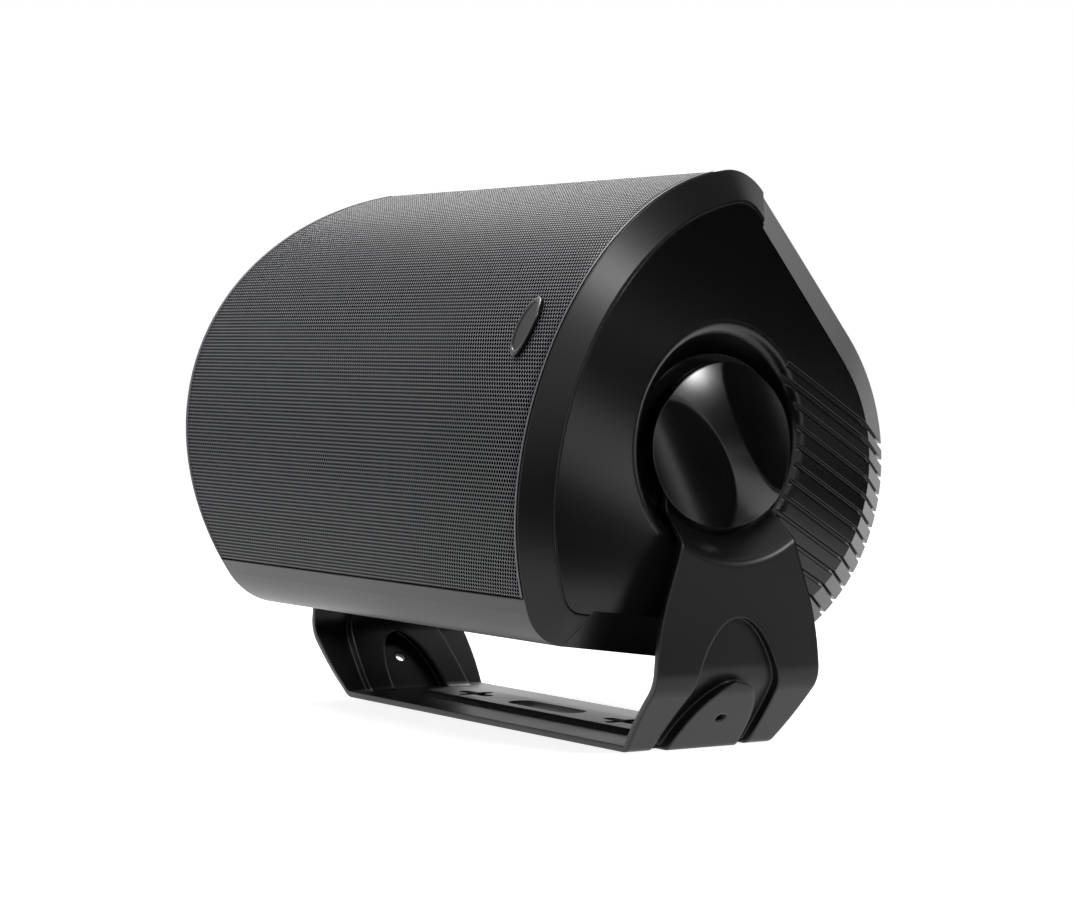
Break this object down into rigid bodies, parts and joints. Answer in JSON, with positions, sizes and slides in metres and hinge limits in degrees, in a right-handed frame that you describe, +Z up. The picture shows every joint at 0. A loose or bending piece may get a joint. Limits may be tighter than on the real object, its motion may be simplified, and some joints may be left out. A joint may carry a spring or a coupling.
{
  "type": "outdoor loudspeaker",
  "caption": "Compact weatherproof loudspeaker with a bowed perforated grille and a ribbed rear cabinet, tilting between the arms of a U bracket and clamped by domed knobs.",
  "frame": {"origin": "middle of the base, between its fixing slots, on the surface the base rests on", "axes": "+X along the tilt pivot, the grille faces -Y and up at rest, +Z up"},
  "size_m": [0.2958, 0.1873, 0.2169],
  "materials": {
    "cabinet_plastic": "satin moulded black",
    "grille_coat": "dark grey powder coat on perforated sheet",
    "badge_plastic": "plain dark plate",
    "seal_rubber": "black rubber",
    "pressed_steel": "black painted pressed steel",
    "motor_steel": "plated steel",
    "ferrite": "dark sintered ferrite",
    "cone_plastic": "black moulded cone",
    "coil_wire": "enamelled copper wire",
    "spider_cloth": "stiffened woven cloth",
    "screw_steel": "zinc plated steel",
    "dome_film": "thin formed film",
    "board_laminate": "paper laminate",
    "capacitor_film": "plastic sleeve",
    "resistor_ceramic": "white ceramic block",
    "wadding": "loose white fibre",
    "terminal_brass": "bright brass",
    "cap_red": "red plastic",
    "cap_black": "black plastic",
    "knob_plastic": "semi-gloss moulded black",
    "bracket_coat": "satin black powder coat on steel sheet"
  },
  "bodies": {
    "bracket": {"mounting_bracket": "bracket_coat"},
    "cabinet": {"rear_cabinet": "cabinet_plastic", "front_frame": "cabinet_plastic", "grille": "grille_coat", "badge": "badge_plastic", "parting_seal": "seal_rubber", "woofer_basket": "pressed_steel", "woofer_top_plate": "motor_steel", "woofer_magnet": "ferrite", "woofer_back_plate": "motor_steel", "woofer_surround": "seal_rubber", "woofer_spider": "spider_cloth", "woofer_screws": "screw_steel", "tweeter_faceplate": "cabinet_plastic", "tweeter_motor": "motor_steel", "tweeter_dome": "dome_film", "tweeter_screws": "screw_steel", "baffle_screws": "screw_steel", "filter_board": "board_laminate", "filter_coil": "coil_wire", "filter_capacitors": "capacitor_film", "filter_resistor": "resistor_ceramic", "damping_wad": "wadding", "terminal_cup": "cabinet_plastic", "binding_post_positive": "terminal_brass", "binding_post_negative": "terminal_brass", "pivot_insert_left": "terminal_brass", "pivot_insert_right": "terminal_brass", "friction_washer_left": "seal_rubber", "friction_washer_right": "seal_rubber"},
    "woofer_diaphragm": {"woofer_cone": "cone_plastic", "woofer_dust_cap": "cone_plastic", "woofer_voice_coil": "coil_wire"},
    "knob_left": {"pivot_knob_left": "knob_plastic", "pivot_stud_left": "screw_steel"},
    "knob_right": {"pivot_knob_right": "knob_plastic", "pivot_stud_right": "screw_steel"},
    "terminal_cap_positive": {"binding_cap_positive": "cap_red"},
    "terminal_cap_negative": {"binding_cap_negative": "cap_black"}
  },
  "joints": [
    {"name": "cabinet_tilt", "type": "hinge", "parent": "bracket", "child": "cabinet", "pos_m": [0, 0, 0.1145], "axis": [-1, 0, 0], "range_deg": [-20, 115]},
    {"name": "knob_left_turn", "type": "hinge", "parent": "cabinet", "child": "knob_left", "pos_m": [0, 0, 0.1145], "axis": [1, 0, 0], "continuous": true},
    {"name": "knob_right_turn", "type": "hinge", "parent": "cabinet", "child": "knob_right", "pos_m": [0, 0, 0.1145], "axis": [1, 0, 0], "continuous": true},
    {"name": "woofer_travel", "type": "slide", "parent": "cabinet", "child": "woofer_diaphragm", "axis": [0, 0.8829, -0.4695], "range_m": [-0.003, 0.003], "stiffness_N_per_m": 1400, "deforming": ["woofer_surround", "woofer_spider"]},
    {"name": "terminal_cap_positive_turn", "type": "hinge", "parent": "cabinet", "child": "terminal_cap_positive", "pos_m": [0.032, 0.07064, 0.07694], "axis": [0, 0.8829, -0.4695], "continuous": true},
    {"name": "terminal_cap_negative_turn", "type": "hinge", "parent": "cabinet", "child": "terminal_cap_negative", "pos_m": [0.058, 0.07064, 0.07694], "axis": [0, 0.8829, -0.4695], "continuous": true}
  ]
}
